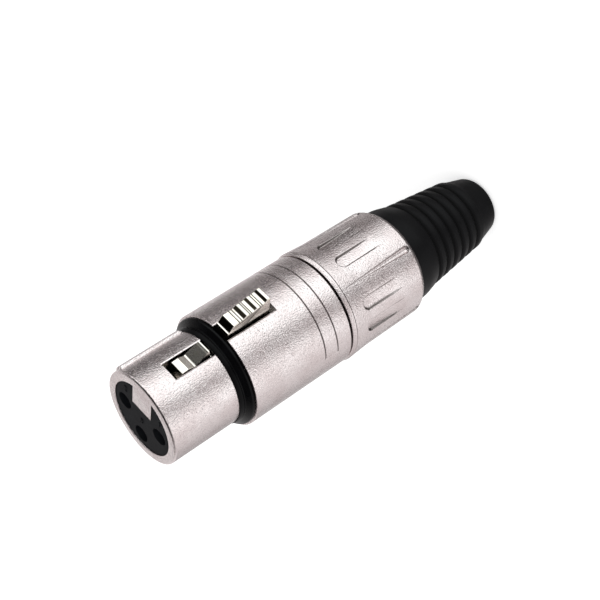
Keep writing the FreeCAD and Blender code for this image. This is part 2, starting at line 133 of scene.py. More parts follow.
def layered(name, layers):
    # solid through layers that have the same number of points
    size = len(layers[0]), len(layers)
    return newPiece(name, [point for layer in layers for point in layer], tubeEnds(*size) + tubeSides(*size))


def plate(name, outline, width, rounding=0.0, roundFrom=6.5, steps=6):
    # upright plate across X from (depth, height) points, height counted towards the latch side;
    # rounding softens the long edges of what stands higher than roundFrom
    turns = [math.pi / 2 * k / steps for k in range(steps + 1)] if rounding else [math.pi / 2]
    side = [(width / 2 - rounding * (1 - math.cos(t)), rounding * (1 - math.sin(t))) for t in turns]
    sections = [(-x, drop) for x, drop in side] + side[::-1]
    return layered(name, [[(x, -(h - drop if h > roundFrom else h), level(d)) for d, h in outline]
                          for x, drop in sections])


def beam(name, section, front, rear):
    # straight bar along the axis from (X, height) points
    return layered(name, [[(x, -h, level(d)) for x, h in section] for d in (front, rear)])


def block(width, low, high, front, rear):
    return plate("block", [(front, low), (front, high), (rear, high), (rear, low)], width)


def rod(radius, front, rear, x=0.0, y=0.0, count=64):
    points = [(x + radius * math.cos(t), y + radius * math.sin(t), level(depth))
              for depth in (front, rear) for t in [2 * math.pi * k / count for k in range(count)]]
    return newPiece("rod", points, tubeEnds(count, 2) + tubeSides(count, 2))


def crossRod(radius, length, depth, height, count=48):
    # round bar along X
    piece = rod(radius, 0, length, count=count)
    piece.data.transform(Matrix.Translation((0, 0, -level(length / 2))))
    piece.data.transform(Matrix.Rotation(math.pi / 2, 4, "Y"))
    piece.data.transform(Matrix.Translation((0, -height, level(depth))))
    return piece


def finalShape(piece):
    # the mesh that a curve or the modifiers give
    return bpy.data.meshes.new_from_object(piece.evaluated_get(bpy.context.evaluated_depsgraph_get()))


def bake(piece):
    # the modifiers' result becomes the mesh
    shape = finalShape(piece)
    piece.modifiers.clear()
    piece.data = shape


def carve(piece, tools, operation="DIFFERENCE"):
    for tool in tools:
        step = piece.modifiers.new("carve", "BOOLEAN")
        step.operation, step.object, step.solver = operation, tool, "EXACT"
        bake(piece)
        bpy.data.objects.remove(tool)
    return piece


def soften(piece, width, angle=40, steps=2):
    step = piece.modifiers.new("soft edges", "BEVEL")
    step.width, step.segments = width, steps
    step.limit_method, step.angle_limit = "ANGLE", math.radians(angle)
    step.miter_outer = "MITER_ARC"
    bake(piece)
    return piece


def joined(pieces):
    whole = bmesh.new()
    for piece in pieces:
        whole.from_mesh(piece.data)
    first = pieces[0]
    whole.to_mesh(first.data)
    whole.free()
    for piece in pieces[1:]:
        bpy.data.objects.remove(piece)
    return first


def helicalRidge(name, root, crest, pitch, front, rear, foot=0.42, land=0.1, perTurn=72):
    # screw thread's ridge, right-handed, which fades in and out at its ends
    turns = (rear - front) / pitch
    count = round(turns * perTurn)
    points = []
    for k in range(count + 1):
        t = 2 * math.pi * k / perTurn
        fade = min(1.0, k / (perTurn * 0.3), (count - k) / (perTurn * 0.3))
        top = root + (crest - root) * fade
        middle = level(rear) + pitch * k / perTurn
        under = root - (crest - root) * 0.3
        for offset, r in ((-foot, root), (-land, top), (land, top), (foot, root), (0, under)):
            points.append((r * math.cos(t), r * math.sin(t), middle + offset))
    size = 5, count + 1
    return newPiece(name, points, tubeSides(*size) + tubeEnds(*size))


def soil(piece, rule):
    # marks how much painted shade each point gets, from 0 to 1
    marks = piece.data.attributes.new("soil", "FLOAT", "POINT")
    for point, mark in zip(piece.data.vertices, marks.data):
        x, y, z = point.co
        mark.value = rule(math.degrees(math.atan2(y, x)), level(z), math.hypot(x, y))


def fromLatch(angle):
    return (angle - plug["latchAngle"] + 180) % 360 - 180


def smoothStep(value, low, high):
    t = max(0.0, min(1.0, (value - low) / (high - low)))
    return t * t * (3 - 2 * t)


def finish(piece, body, material, node=None, sharp=38):
    piece.data.transform(Matrix.Scale(mm, 4))
    piece.data.shade_smooth()
    piece.data.set_sharp_from_angle(angle=math.radians(sharp))
    even = piece.modifiers.new("even shading", "WEIGHTED_NORMAL")
    even.keep_sharp = True
    piece.data.materials.clear()
    piece.data.materials.append(material)
    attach(piece, body)
    if node:
        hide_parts(node)
    print("piece", piece.name, len(piece.data.polygons), "faces")
    return piece


class Tone:
    # one value of a material; using it in an expression adds a Math node
    def __init__(self, bench, socket):
        self.bench, self.socket = bench, socket

    def math(self, operation, *values):
        return self.bench.add("ShaderNodeMath", {"operation": operation}, dict(enumerate(values)))

    def __add__(self, other):
        return self.math("ADD", self, other)

    def __radd__(self, other):
        return self.math("ADD", other, self)

    def __sub__(self, other):
        return self.math("SUBTRACT", self, other)

    def __rsub__(self, other):
        return self.math("SUBTRACT", other, self)

    def __mul__(self, other):
        return self.math("MULTIPLY", self, other)

    def __rmul__(self, other):
        return self.math("MULTIPLY", other, self)


class Bench:
    # a node tree to which finishes are added one node at a time
    def __init__(self, tree):
        self.tree = tree
        tree.nodes.clear()

    def add(self, kind, settings=None, sockets=None, out=0):
        node = self.tree.nodes.new(kind)
        for name, value in (settings or {}).items():
            if name == "stops":
                self.setStops(node.color_ramp, value)
            else:
                setattr(node, name, value)
        for name, value in (sockets or {}).items():
            if isinstance(value, Tone):
                self.tree.links.new(value.socket, node.inputs[name])
            else:
                node.inputs[name].default_value = value
        return Tone(self, node.outputs[out]) if node.outputs else None

    def setStops(self, ramp, stops):
        ramp.interpolation = "LINEAR"
        while len(ramp.elements) < len(stops):
            ramp.elements.new(0.5)
        for element, (position, colour) in zip(ramp.elements, stops):
            element.position = position
            element.color = (*colour, 1) if hasattr(colour, "__len__") else (colour, colour, colour, 1)

    def place(self):
        where = self.add("ShaderNodeTexCoord", out=3)
        return self.add("ShaderNodeVectorMath", {"operation": "SCALE"}, {0: where, "Scale": 1 / mm})

    def stretched(self, where, x, y, z):
        return self.add("ShaderNodeVectorMath", {"operation": "MULTIPLY"}, {0: where, 1: (x, y, z)})

    def noise(self, where, size, detail=2.0, roughness=0.5):
        return self.add("ShaderNodeTexNoise", {}, {"Vector": where, "Scale": 1 / size, "Detail": detail,
                                                   "Roughness": roughness})

    def soil(self):
        # reads the marks of painted shade on each point
        return self.add("ShaderNodeAttribute", {"attribute_name": "soil"}, out=2)

    def pits(self, where, size):
        return self.add("ShaderNodeTexVoronoi", {"feature": "F1"}, {"Vector": where, "Scale": 1 / size})

    def step(self, value, low, high):
        return self.add("ShaderNodeMapRange", {"interpolation_type": "SMOOTHSTEP"},
                        {"Value": value, "From Min": low, "From Max": high})

    def blend(self, share, first, second):
        pick = [v if isinstance(v, Tone) else (*v, 1) for v in (first, second)]
        return self.add("ShaderNodeMix", {"data_type": "RGBA"}, {0: share, 6: pick[0], 7: pick[1]}, out=2)

    def bump(self, height, distance):
        return self.add("ShaderNodeBump", {}, {"Height": height, "Distance": distance * mm, "Strength": 1.0})


def newFinish(name, build, **values):
    material = bpy.data.materials.new(name)
    material.use_nodes = True
    bench = Bench(material.node_tree)
    shader = bench.add("ShaderNodeBsdfPrincipled", {}, build(bench, **values))
    bench.add("ShaderNodeOutputMaterial", {}, {"Surface": shader})
    return material


def satinMetal(bench, light, dark, grime, roughness, grainSize, grainHeight, fleck):
    # bead-blasted die-cast metal under a thin plate: pebbly grain, small pits, a faint cloudiness, and painted
    # shade where the points are marked
    where = bench.place()
    grain = bench.noise(where, grainSize, 2.0, 0.55)
    fine = bench.noise(where, grainSize * 0.45, 2.0, 0.5)
    cloud = bench.noise(where, 4.0, 3.0, 0.55)
    pit = 1 - bench.step(bench.pits(where, grainSize * 1.6), 0.10, 0.34)
    tint = bench.blend(bench.step(cloud, 0.3, 0.7), light, dark)
    speck = bench.step(fine, 0.52, 0.72) * fleck + pit * fleck
    worn = bench.blend(speck, tint, tuple(0.45 * c for c in dark))
    return {
        # painted shade: the colour goes dark where the points are marked
        "Base Color": bench.blend(bench.soil(), worn, grime),
        "Metallic": 1.0,
        "Roughness": roughness + (fine - 0.5) * 0.22 + (cloud - 0.5) * 0.10 + bench.soil() * 0.2,
        "Normal": bench.bump(grain + fine * 0.35 - pit * 0.2, grainHeight),
    }


def brightMetal(bench, colour, shade, grime, roughness, scratch):
    # bright plated steel with hair scratches along its length
    where = bench.place()
    hair = bench.noise(bench.stretched(where, 9.0, 9.0, 0.6), 1.0, 4.0, 0.6)
    cloud = bench.noise(where, 0.8, 3.0, 0.5)
    mark = bench.step(hair, 0.55, 0.75)
    plated = bench.blend(bench.step(cloud, 0.35, 0.75) * 0.6 + mark * 0.2, colour, shade)
    return {
        # painted shade: the colour goes dark where the points are marked
        "Base Color": bench.blend(bench.soil(), plated, grime),
        "Metallic": 1.0,
        "Roughness": roughness + mark * 0.16 + (cloud - 0.5) * 0.08 + bench.soil() * 0.2,
        "Normal": bench.bump(hair * 0.6 + cloud, scratch),
    }


def mouldedRubber(bench, colour, bloom, roughness, gloss, grainSize, grainHeight, share):
    # black rubber: fine pebble from the mould, and a grey bloom on what is handled
    where = bench.place()
    grain = bench.noise(where, grainSize, 3.0, 0.6)
    cloud = bench.noise(where, 3.2, 4.0, 0.6)
    dust = bench.step(cloud, 0.45, 0.8) * share + bench.step(grain, 0.6, 0.8) * share * 0.6
    # painted shade: the colour goes darker where the points are marked
    shadeShare = bench.soil()
    return {
        "Base Color": bench.blend(shadeShare, bench.blend(dust, colour, bloom), tuple(0.2 * c for c in colour)),
        "Roughness": roughness + (grain - 0.5) * 0.25 + (cloud - 0.5) * 0.15 + shadeShare * 0.3,
        "Specular IOR Level": gloss,
        "Normal": bench.bump(grain + cloud * 0.6, grainHeight),
    }


def mouldedPlastic(bench, colour, shade, roughness, gloss, grainSize, grainHeight):
    # filled plastic with a fine spark-eroded skin
    where = bench.place()
    grain = bench.noise(where, grainSize, 3.0, 0.65)
    cloud = bench.noise(where, 2.0, 3.0, 0.5)
    return {
        "Base Color": bench.blend(bench.step(cloud, 0.3, 0.75), colour, shade),
        "Roughness": roughness + (grain - 0.5) * 0.3,
        "Specular IOR Level": gloss,
        "Normal": bench.bump(grain, grainHeight),
    }


# colour of the painted shade on the nickel parts
metalShadeColour = (0.035, 0.028, 0.022)
finishes = {
    "shell": newFinish("satin nickel", satinMetal, light=(0.775, 0.712, 0.708), dark=(0.69, 0.61, 0.605),
                       grime=metalShadeColour, roughness=0.14, grainSize=0.22, grainHeight=0.066, fleck=0.28),
    "bushing": newFinish("satin nickel bushing", satinMetal, light=(0.765, 0.702, 0.698),
                         dark=(0.68, 0.60, 0.595), grime=metalShadeColour, roughness=0.15, grainSize=0.23,
                         grainHeight=0.066, fleck=0.28),
    "latch": newFinish("bright nickel", brightMetal, colour=(0.86, 0.82, 0.76), shade=(0.66, 0.61, 0.52),
                       grime=(0.022, 0.018, 0.013), roughness=0.12, scratch=0.007),
    "ring": newFinish("ring rubber", mouldedRubber, colour=(0.0018, 0.0018, 0.0022),
                      bloom=(0.006, 0.0064, 0.008), roughness=0.28, gloss=0.09, grainSize=0.2,
                      grainHeight=0.005, share=0.35),
    "boot": newFinish("boot rubber", mouldedRubber, colour=(0.0038, 0.0038, 0.0044),
                      bloom=(0.0095, 0.0095, 0.0108), roughness=0.44, gloss=0.10, grainSize=0.22,
                      grainHeight=0.008, share=0.4),
    "insert": newFinish("insert plastic", mouldedPlastic, colour=(0.0064, 0.0070, 0.0084),
                        shade=(0.0098, 0.0105, 0.0122), roughness=0.48, gloss=0.03, grainSize=0.18,
                        grainHeight=0.005),
    "collet": newFinish("collet plastic", mouldedPlastic, colour=(0.04, 0.04, 0.042),
                        shade=(0.055, 0.055, 0.058), roughness=0.5, gloss=0.5, grainSize=0.16,
                        grainHeight=0.005),
    "contact": newFinish("silvered brass", brightMetal, colour=(0.83, 0.77, 0.62), shade=(0.62, 0.53, 0.38),
                         grime=(0.10, 0.07, 0.03), roughness=0.24, scratch=0.004),
    "spring": newFinish("spring wire", brightMetal, colour=(0.60, 0.60, 0.61), shade=(0.45, 0.45, 0.46),
                        grime=(0.06, 0.055, 0.05), roughness=0.28, scratch=0.003),
}
print("finishes ready,", len(finishes))


housing = {
    "rimRound": 0.33, "ringSeat": 7.45, "edgeRound": 0.12, "step": 15.0, "relief": 7.9, "reliefEnd": 33.6,
    "threadRoot": 7.78, "thread": 8.2, "pitch": 1.0, "end": 39.5,
    "keyWidth": 4.16, "keyReach": 2.1, "keyRoot": 6.95, "keyLength": 2.4,
    "railWidth": 1.8, "railTop": 8.13, "railStart": 0.4, "railLead": 0.5, "railRound": 0.1, "railDraft": 0.14,
    "railAngle": -35.5, "railFoot": 7.37, "railRoot": 6.9,
    "railLine": (0.14, 0.08),  # half width and depth of the fine groove along the rail's top
    "slotWidth": 3.25, "slotFront": 4.6, "slotRear": 23.2, "slotFloor": 4.6,
    "slotEdge": (0.2, 0.18),  # width and slope of the slot's chamfer
    "lineDepths": (27.425, 29.925), "lineHalf": 0.13, "lineSink": 0.15, "lineReach": 80.0,
    # the collet's keyways: front in the thread and in the wall, rear, width and radius
    "keyways": (34.0, 35.55, 39.6, 1.6, 7.8),
    # strength of the painted shade on the housing
    "soil": 0.9,
}


def lineSink(angle, depth, radius):
    # two fine lines round the latch side, with a faint lengthwise line that joins their ends
    h = housing
    if radius < plug["barrel"] - 0.3:
        return 0
    away = abs(fromLatch(angle))
    around = max(0.0, min(1.0, (h["lineReach"] - away) / 0.8 + 0.5))
    sunk = max(max(0.0, 1 - abs(depth - d) / h["lineHalf"]) for d in h["lineDepths"]) * around
    first, last = h["lineDepths"]
    if first <= depth <= last:
        sunk = max(sunk, 0.35 * max(0.0, 1 - abs(away - h["lineReach"]) / 0.8))
    return h["lineSink"] * sunk


def housingShade(angle, depth, radius):
    # painted shade in the fine lines, down the slot's walls, along the rail's groove and in front of the
    # bushing
    h = housing
    skin = plug["front"] if depth < plug["barrelFront"] else plug["barrel"]
    dark = lineSink(angle, depth, radius) / h["lineSink"] * 0.8
    across = abs(radius * math.sin(math.radians(fromLatch(angle))))
    if across < h["slotWidth"] / 2 + 0.02 and h["slotFront"] - 0.1 < depth < h["slotRear"] + 0.1:
        dark = max(dark, smoothStep(skin - radius, 0.15, 0.7))
    if depth < plug["ringFront"] and radius > plug["front"] + 0.05 and abs(angle - h["railAngle"]) < 0.2:
        dark = max(dark, 0.8)
    if plug["barrelRear"] - 0.1 < depth < h["reliefEnd"] + 0.05 and radius > h["relief"] - 0.2:
        dark = max(dark, smoothStep(skin - radius, 0.2, 0.5))
    return dark * h["soil"]


def slotCutter(skin, front, rear):
    # the slot opens through the skin, with a chamfer along its long edges
    h = housing
    half, (wide, slope) = h["slotWidth"] / 2, h["slotEdge"]
    reach = math.sqrt(skin ** 2 - (half + wide) ** 2)
    side = [(half, h["slotFloor"]), (half, reach - slope * wide), (half + wide + 0.04, reach + slope * 0.04),
            (half + wide + 0.04, skin + 2)]
    return beam("slot", side + [(-x, height) for x, height in reversed(side)], front, rear)


def makeRail():
    # low rail beside the latch window, with rounded long edges and a ramp behind the rim
    h = housing
    half, front = h["railWidth"] / 2, h["railStart"]
    foot, rise = half + h["railDraft"], h["railTop"] - plug["front"]
    line, sink = h["railLine"]
    section = softOutline([(-foot, 2.0), (-foot, rise), (-half, 0.0, h["railRound"]), (-line, 0.0), (0.0, sink),
                           (line, 0.0), (half, 0.0, h["railRound"]), (foot, rise), (foot, 2.0)], 5)
    rear = plug["ringFront"] - 0.02
    # the last two points only close the outline for its roundings
    along = softOutline([(front, h["railFoot"]), (front + h["railLead"], h["railTop"], 0.4),
                         (rear - 0.3, h["railTop"], 0.1), (rear, h["railTop"] - 0.2),
                         (rear, 7.0), (front, 7.0)], 4)[:-2]
    points = []
    for depth, top in along:
        for across, drop in section:
            radius = max(h["railRoot"], top - drop)
            angle = math.radians(h["railAngle"]) + across / plug["front"]
            points.append((radius * math.cos(angle), radius * math.sin(angle), level(depth)))
    size = len(section), len(along)
    return newPiece("rail", points, tubeSides(*size) + tubeEnds(*size))


def makeHousing():
    h = housing
    corners = [(0, plug["mouth"], 0.08), (0, plug["front"], h["rimRound"]),
               (plug["ringFront"], plug["front"]), (plug["ringFront"], h["ringSeat"]),
               (plug["barrelFront"], h["ringSeat"]),
               (plug["barrelFront"], plug["barrel"], h["edgeRound"])]
    for depth in h["lineDepths"]:
        corners += [(depth + share * h["lineHalf"], plug["barrel"]) for share in (-1, -0.5, 0, 0.5, 1)]
    corners += [(plug["barrelRear"], plug["barrel"], h["edgeRound"]), (plug["barrelRear"], h["relief"]),
                (h["reliefEnd"], h["threadRoot"]), (h["end"], h["threadRoot"], 0.2), (h["end"], plug["bore"]),
                (h["step"], plug["bore"]), (h["step"], plug["mouth"])]
    angles = [k * 1.5 for k in range(240)]
    for side in (-1, 1):
        end = (plug["latchAngle"] + side * h["lineReach"]) % 360
        angles += [end + offset for offset in (-0.8, -0.4, 0, 0.4, 0.8)]
    angles = sorted(set(round(a % 360, 3) for a in angles))
    shell = turned("housing", softOutline(corners), angles, sink=lineSink)
    key = block(h["keyWidth"], h["keyReach"], h["keyRoot"], 0, h["keyLength"])
    carve(shell, [key, makeRail()], "UNION")
    front, within, rear, width, reach = h["keyways"]
    ways = [block(2 * reach, -width / 2, width / 2, within, rear)]
    slots = [slotCutter(plug["front"], h["slotFront"], plug["barrelFront"] - 0.01),
             slotCutter(plug["barrel"], plug["barrelFront"] - 0.05, h["slotRear"])]
    carve(shell, slots + ways)
    thread = helicalRidge("thread", h["threadRoot"], h["thread"], h["pitch"], h["reliefEnd"] + 0.3,
                          h["end"] - 0.5)
    carve(thread, [block(40, -width / 2, width / 2, front, rear)])
    shell = joined([shell, thread])
    soil(shell, housingShade)
    return finish(shell, "shell", finishes["shell"], "housing", sharp=20)


ring = {
    "seat": 7.47, "gap": 0.02, "front": 7.85,
    "lip": (0.6, 8.12), "groove": (1.0, 8.0), "bead": (1.58, 8.9), "top": 9.05, "round": 0.2,
}


def ringShade(angle, depth, radius):
    # shade where the ring lies against its seat
    r = ring
    return 1 - smoothStep(radius, r["front"] - 0.1, r["front"] + 0.15)


def makeRing():
    r = ring
    front, rear = plug["ringFront"] + r["gap"], plug["barrelFront"] - r["gap"]
    corners = [(front, r["seat"]), (front, r["front"], 0.1)]
    corners += [(front + depth, radius, r["round"]) for depth, radius in (r["lip"], r["groove"], r["bead"])]
    corners += [(rear, r["top"], r["round"]), (rear, r["seat"])]
    body = turned("collar_ring_rubber", softOutline(corners, 8), 192)
    soil(body, ringShade)
    return finish(body, "shell", finishes["ring"], "collar_ring")


latch = {
    "width": 2.6, "pivotDepth": 3.5, "pivotHeight": 5.0, "nose": 0.8, "axle": 0.5, "axleLength": 4.1,
    "crankTop": 4.5, "crankBottom": 3.3, "crankLead": 1.05, "crankLength": 0.8,
    "armTop": 7.0, "armBottom": 5.5, "barFront": 6.1, "barTop": (7.24, 7.36), "facetFront": 7.25,
    "facetRear": (8.38, 7.02), "rampFront": (8.53, 7.08),
    "toothPeak": 10.85, "toothTop": 8.40, "toothWidth": 2.3, "ripples": 11, "ripple": 0.011,
    "buttonFront": 14.25, "buttonRear": 22.0, "frontTop": 9.98,
    # the thumb button's steps, each from its foot to its top, and the depths of the fine lines behind it
    "steps": [((14.44, 10.03), (15.25, 11.05)), ((17.05, 11.23), (17.70, 11.57)),
              ((19.05, 11.64), (19.60, 11.87)), ((21.00, 12.05), (21.45, 12.35))],
    "stepLines": [(16.28, 16.75), (18.20, 18.50), (20.10, 20.45), ()], "lineHalf": 0.09, "lineSink": 0.10,
    "heelEnd": 24.6, "heelTop": 6.9, "edge": 0.15,
    # how dark the tooth's ramp is made, and the strength of the painted shade on the latch
    "rampDarkening": 0.76, "soil": 1.0,
}


def stepHeight(depth):
    # height of the thumb button's top
    path = [corner for step in latch["steps"] for corner in step]
    path.append((latch["buttonRear"], path[-1][1]))
    for (d0, h0), (d1, h1) in zip(path, path[1:]):
        if depth <= d1:
            return h0 + (h1 - h0) * max(0.0, depth - d0) / (d1 - d0)
    return path[-1][1]


def latchShade(angle, depth, radius):
    # painted shade on the risers of the steps, in the fine lines and low on the button's sides; darker on the
    # tooth's ramp
    p = latch
    away = math.radians(fromLatch(angle))
    height = radius * math.cos(away)
    if p["rampFront"][0] + 0.03 < depth < p["toothPeak"] - 0.03 and height > p["rampFront"][1] - 0.1:
        return p["soil"] * p["rampDarkening"]
    if not p["buttonFront"] - 0.05 < depth < p["buttonRear"] + 0.05:
        return 0
    below = stepHeight(depth) - height
    riser = any(low[0] + 0.03 < depth < high[0] - 0.03 for low, high in p["steps"])
    line = any(abs(depth - d) < 0.02 for pair in p["stepLines"] for d in pair)
    if depth < p["buttonFront"] + 0.02:
        return p["soil"] * 0.9 * smoothStep(below, 0.37, 0.45)
    side = smoothStep(below, 0.16, 0.4) * 0.28 + smoothStep(below, 1.8, 2.8) * 0.5
    inner = abs(radius * math.sin(away)) < p["width"] / 2 - 0.08  # the rounded edges stay bright
    return p["soil"] * max(side, riser and inner and below < 0.2, 0.8 * (line and below < 0.3))


def makeLatch():
    p = latch
    corners = [(p["pivotDepth"], p["pivotHeight"] + p["nose"]),
               (p["pivotDepth"] + p["crankLead"], p["crankTop"], 0.3), (p["barFront"], p["crankTop"], 0.3),
               (p["barFront"], p["barTop"][0], 0.12), (p["facetFront"], p["barTop"][1]),
               p["facetRear"], p["rampFront"]]
    first, peak = Vector(p["rampFront"]), Vector((p["toothPeak"], p["toothTop"]))
    for k in range(1, p["ripples"] + 1):  # faint ripples up the tooth's ramp
        corners.append(first.lerp(peak, k / (p["ripples"] + 1)) + Vector((0, p["ripple"] * (-1) ** k)))
    corners += [peak, (p["toothPeak"] + 0.2, p["toothTop"]), (p["toothPeak"] + 0.4, p["armTop"]),
                (p["buttonFront"], p["armTop"])]
    corners += [(p["buttonFront"], p["frontTop"] - drop) for drop in (0.4, 0.3, 0)]
    for (low, high), lines in zip(p["steps"], p["stepLines"]):
        low, high = Vector(low), Vector(high)
        corners += [low, low.lerp(high, 0.12), low.lerp(high, 0.86), (*high, 0.05)]
        for line in lines:
            for offset, drop in ((-p["lineHalf"], 0), (0, p["lineSink"]), (p["lineHalf"], 0)):
                corners.append((line + offset, stepHeight(line + offset) - drop))
    corners += [(p["buttonRear"], high.y, 0.1), (p["buttonRear"], p["heelTop"]),
                (p["heelEnd"], p["heelTop"], 0.3), (p["heelEnd"], p["armBottom"], 0.3),
                (p["barFront"] + 2.1, p["armBottom"], 1.0),
                (p["barFront"] + p["crankLength"], p["crankBottom"], 0.3),
                (p["pivotDepth"], p["crankBottom"], 0.3), (p["pivotDepth"], p["pivotHeight"] - p["nose"] / 2)]
    lever = plate("latch_lever", softOutline(corners, 6), p["width"], rounding=p["edge"])
    cheeks = []  # what is cut away from both sides of the tooth
    low, shoulder, above = p["armTop"] + 0.3, p["toothTop"] - 0.15, p["toothTop"] + 1
    for side in (-1, 1):
        inner, outer = side * p["toothWidth"] / 2, side * p["width"]
        section = [(side * p["width"] / 2, low), (inner, shoulder), (inner, above),
                   (outer, above), (outer, low)]
        cheeks.append(beam("cheek", section, p["rampFront"][0], p["toothPeak"] + 0.5))
    carve(lever, cheeks)
    nose = crossRod(p["nose"], p["width"], p["pivotDepth"], p["pivotHeight"])
    axle = crossRod(p["axle"], p["axleLength"], p["pivotDepth"], p["pivotHeight"])
    carve(lever, [nose, axle], "UNION")
    soil(lever, latchShade)
    return finish(lever, "latch", finishes["latch"], "latch", sharp=17)


insert = {
    "recess": 0.12, "gap": 0.05, "step": 15.02, "joint": 25.3, "circle": 3.95, "mouth": 1.4, "lip": 1.1,
    "clear": 1.65, "collar": 2.0, "channel": 3.2, "channelFloor": 2.1, "keyWidth": 4.26, "keyFloor": 2.05,
    "keyLength": 2.45, "edge": 0.09, "collarLength": 1.1,
    "axleSeat": (3.5, 5.0, 0.55),  # depth, height and radius of the seat of the latch's axle
    "axleWidth": 4.2, "pocket": (19.0, -0.6, 1.25, 3.0),  # the spring's pocket: depth, floor, radius, length
    "window": (16.3, 25.8, 6.68, 34, 22),  # the earth strip's seat: front, rear, radius, angle and span
    "figures": {"1": (-3.9, 3.1), "2": (3.9, 3.1), "3": (0.0, -0.7)},  # X and height of each figure
    "figureSize": 1.5, "figureRise": 0.1,
}


def makeInsert():
    n = insert
    outer, shoulder = plug["mouth"] - n["gap"], plug["bore"] - n["gap"]
    profile = [(n["recess"], 0), (n["recess"], outer, 0.15), (n["step"], outer), (n["step"], shoulder),
               (n["joint"], shoulder), (n["joint"], 0)]
    body = turned("socket_insert", softOutline(profile), 192)
    cuts = []
    for x, y in ((-n["circle"], 0), (n["circle"], 0), (0, n["circle"])):
        cuts.append(rod(n["mouth"], -0.5, n["recess"] + n["lip"] + 0.01, x, y))
        cuts.append(rod(n["clear"], n["recess"] + n["lip"], n["joint"] + 0.5, x, y))
        cuts.append(rod(n["collar"], n["joint"] - n["collarLength"], n["joint"] + 0.5, x, y))
    cuts.append(block(n["keyWidth"], n["keyFloor"], 9, -0.5, n["keyLength"]))
    cuts.append(block(n["channel"], n["channelFloor"], 9, n["keyLength"] - 0.1, n["joint"] + 0.5))
    depth, height, radius = n["axleSeat"]
    cuts.append(block(n["axleWidth"], height, 9, depth - radius, depth + radius))
    cuts.append(crossRod(radius, n["axleWidth"], depth, height))
    depth, floor, radius, length = n["pocket"]
    pocket = rod(radius, 0, length)
    pocket.data.transform(Matrix.Translation((0, 0, -level(0))))
    pocket.data.transform(Matrix.Rotation(-math.pi / 2, 4, "X"))
    pocket.data.transform(Matrix.Translation((0, floor - length, level(depth))))
    cuts.append(pocket)
    front, rear, inner, angle, span = n["window"]
    cuts.append(turned("seat", [Vector(p) for p in ((front, inner), (rear, inner), (rear, 8.3), (front, 8.3))],
                       6, angle, span))
    carve(body, cuts)
    soften(body, n["edge"])
    figures = []
    for figure, (x, height) in n["figures"].items():
        line = bpy.data.curves.new("figure", "FONT")
        line.body, line.size, line.extrude = figure, n["figureSize"], n["figureRise"]
        line.align_x, line.align_y = "CENTER", "CENTER"
        line.offset = 0.02
        holder = placed("figure", line)
        mesh = finalShape(holder)
        bpy.data.objects.remove(holder)
        place = Matrix.Translation((x, -height, level(n["recess"])))
        mesh.transform(place @ Matrix.Rotation(math.pi, 4, "Z"))
        figures.append(placed("figure", mesh))
    body = joined([body] + figures)
    return finish(body, "shell", finishes["insert"], "insert_front")


spring = {
    "low": 0.77, "high": 5.33, "depth": 19.0, "coil": 0.95, "wire": 0.15, "turns": 5, "perTurn": 32,
    "foot": 0.6,  # height on which the coil stands while it is pressed
    "pressed": 0.46,  # share of its length that is left when the button is down
}


def makeSpring():
    s = spring
    count, sides = s["turns"] * s["perTurn"], 10
    points = []
    for k in range(count + 1):
        t = 2 * math.pi * k / s["perTurn"]
        out = Vector((math.cos(t), 0, math.sin(t)))
        share = k / count
        ease = share * share * (3 - 2 * share) * 0.35 + share * 0.65  # closer turns at both ends
        middle = out * s["coil"] + Vector((0, -(s["low"] + (s["high"] - s["low"]) * ease), level(s["depth"])))
        for j in range(sides):
            a = 2 * math.pi * j / sides
            points.append(middle + (out * math.cos(a) + Vector((0, 1, 0)) * math.sin(a)) * s["wire"])
    size = sides, count + 1
    coil = newPiece("latch_coil", points, tubeSides(*size) + tubeEnds(*size))
    finish(coil, "shell", finishes["spring"], "latch_spring")
    foot = (0, -s["foot"] * mm, level(s["depth"]) * mm)
    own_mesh(coil)
    return coil


bushing = {
    "rim": 9.57, "rimFoot": 9.34, "rimDepth": 0.68, "rimLine": 0.06, "waist": 9.33, "waistDepth": 4.4,
    "tail": 9.24, "tailLength": 0.6,
    "edge": 8.86, "edgeRound": 0.45, "threadTop": 8.25, "threadRoot": 8.5, "pitch": 1.0,
    "coneMouth": 40.2, "coneEnd": 44.25, "cavityEnd": 45.6, "coneFront": 7.4, "coneRear": 5.65, "cavity": 7.4,
    "neck": 6.6, "seat": 48.2, "seatRadius": 8.45,
    "groups": 5, "firstGroup": -118.05, "pocketAngle": 23.6, "pocketHalf": 1.05, "pocketFront": 36.35,
    # the last value is the strength of the painted shade on the bushing
    "pocketLength": 8.1, "pocketSink": 0.46, "pocketFade": 2.0, "pocketWall": (-0.12, 0.16), "soil": 0.9,
    "fluteFront": 33.9, "fluteRear": 48.35, "flute": 0.62, "fluteSink": 0.12,
    # where the painted shade lines along their edges begin, are full, begin to fade and end
    "pocketLine": (-0.15, -0.03, 0.08, 0.2), "fluteLine": (-0.06, 0.02, 0.05, 0.17),
    "tailStart": 48.42, "tailGap": 0.12, "tailAbove": 8.7,
    # rows of points along the skin, as (first depth, gap, count): closer at the pockets' and flutes' ends
    "rows": [(34.3, 0.5, 2), (35.4, 0.5, 2), (36.1, 0.085, 16), (37.6, 0.55, 15), (45.8, 0.3, 5),
             (47.2, 0.09, 14)],
}


def gripSink(angle, depth, radius):
    # soft pockets and pointed flutes, sunk into the outer skin
    return gripShape(angle, depth, radius)[0]


def edgeLine(inward, begins, full, fades, ends):
    return smoothStep(inward, begins, full) * (1 - smoothStep(inward, fades, ends))


